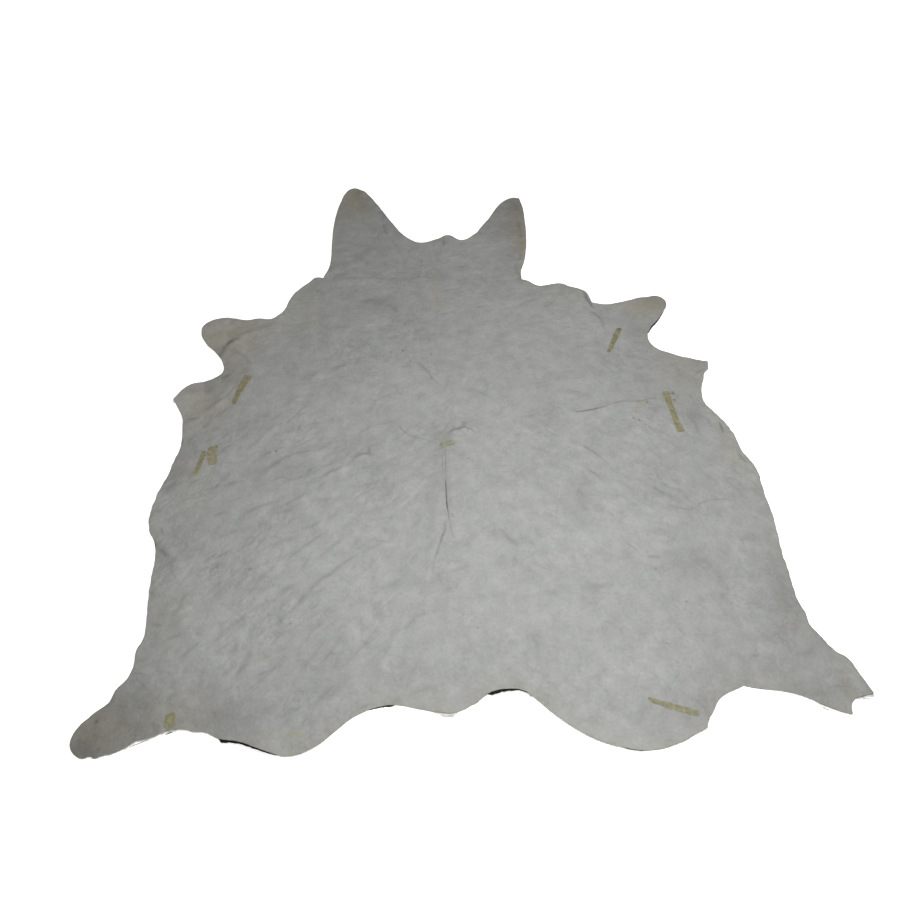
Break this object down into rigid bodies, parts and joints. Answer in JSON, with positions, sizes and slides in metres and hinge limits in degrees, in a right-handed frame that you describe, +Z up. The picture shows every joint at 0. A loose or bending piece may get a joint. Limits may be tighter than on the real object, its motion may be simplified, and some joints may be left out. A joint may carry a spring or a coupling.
{
  "type": "cowhide leather",
  "caption": "Whole cowhide with its hair left on, lying flesh side up with low creases, a knife-cut outline and strips of repair tape.",
  "frame": {"origin": "middle of the hide's outline, on the surface that it lies on", "axes": "+Z up, out of the flesh side; +Y along the spine towards the neck; +X to the right, seen from the tail with the flesh side up"},
  "size_m": [2.0853, 2.2752, 0.0261],
  "materials": {
    "suede": "pale grey flesh side of a tanned hide, matt suede with fine creases",
    "hair_white": "cream white cattle hair, laid towards the tail",
    "hair_black": "black cattle hair, laid towards the tail",
    "tape_cloth": "aged yellowish cloth tape, matt"
  },
  "bodies": {
    "root": {"hide": "suede", "tape_shoulder_left": "tape_cloth", "tape_flank_left_short": "tape_cloth", "tape_flank_left_long": "tape_cloth", "tape_shoulder_right": "tape_cloth", "tape_flank_right": "tape_cloth", "tape_back": "tape_cloth", "tape_rump_right": "tape_cloth", "tape_hind_left": "tape_cloth"}
  },
  "joints": []
}
